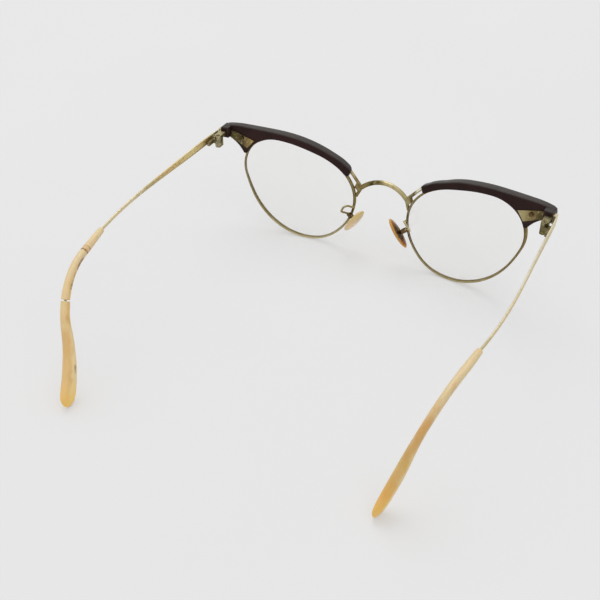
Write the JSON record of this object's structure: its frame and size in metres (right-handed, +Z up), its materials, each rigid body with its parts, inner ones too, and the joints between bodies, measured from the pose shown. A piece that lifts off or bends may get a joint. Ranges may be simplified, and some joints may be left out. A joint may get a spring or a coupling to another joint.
{
  "type": "browline glasses",
  "caption": "Browline spectacles: dark plastic brow trims over thin gold rims with lenses, saddle bridge, rocking nose pads and folding wire-cored temples with ivory ear tips.",
  "frame": {"origin": "On the table the glasses stand on, under the middle of their box, with the temples open", "axes": "+X towards the wearer's left, +Y from the front of the frame back to the ear tips, +Z up"},
  "size_m": [0.1422, 0.1368, 0.044],
  "materials": {
    "aged_gold": "gold filled wire with olive brown patina, satin",
    "bright_gold": "gold filled plate, worn bright",
    "temple_gold": "gold filled strip, rubbed, with olive and pink patina",
    "hinge_metal": "nickel silver gone grey green",
    "screw_metal": "dark slotted screw steel",
    "pad_metal": "dark tarnished plate",
    "brow_plastic": "very dark brown celluloid, polished and rubbed",
    "tip_plastic": "translucent honey ivory plastic",
    "pad_plastic": "translucent amber plastic",
    "lens_glass": "clear polished glass"
  },
  "bodies": {
    "front": {"left_eyewire": "aged_gold", "right_eyewire": "aged_gold", "left_lens": "lens_glass", "right_lens": "lens_glass", "left_brow": "brow_plastic", "right_brow": "brow_plastic", "left_end_piece": "bright_gold", "right_end_piece": "bright_gold", "left_front_hinge": "hinge_metal", "right_front_hinge": "hinge_metal", "closing_screws": "screw_metal", "brow_screws": "screw_metal", "hinge_screws": "screw_metal", "bridge": "aged_gold", "left_pad_arm": "aged_gold", "right_pad_arm": "aged_gold", "pad_pins": "screw_metal"},
    "left_temple": {"left_temple_bar": "temple_gold", "left_temple_hinge": "hinge_metal", "left_tip_front": "tip_plastic", "left_tip_middle": "tip_plastic", "left_tip_rear": "tip_plastic"},
    "right_temple": {"right_temple_bar": "temple_gold", "right_temple_hinge": "hinge_metal", "right_tip": "tip_plastic"},
    "left_pad": {"left_pad_core": "pad_metal", "left_nose_pad": "pad_plastic"},
    "right_pad": {"right_pad_core": "pad_metal", "right_nose_pad": "pad_plastic"}
  },
  "joints": [
    {"name": "left_temple_fold", "type": "hinge", "parent": "front", "child": "left_temple", "pos_m": [0.0665, -0.05222, 0.0398], "axis": [0, 0, 1], "range_deg": [0, 84]},
    {"name": "right_temple_fold", "type": "hinge", "parent": "front", "child": "right_temple", "pos_m": [-0.0665, -0.05222, 0.0398], "axis": [0, 0, -1], "range_deg": [0, 76]},
    {"name": "left_pad_rock", "type": "hinge", "parent": "front", "child": "left_pad", "pos_m": [0.01137, -0.06106, 0.01568], "axis": [-0.3637, -0.9302, -0.0498], "range_deg": [-8, 8]},
    {"name": "right_pad_rock", "type": "hinge", "parent": "front", "child": "right_pad", "pos_m": [-0.01137, -0.06106, 0.01568], "axis": [-0.3637, 0.9302, 0.0498], "range_deg": [-8, 8]}
  ]
}
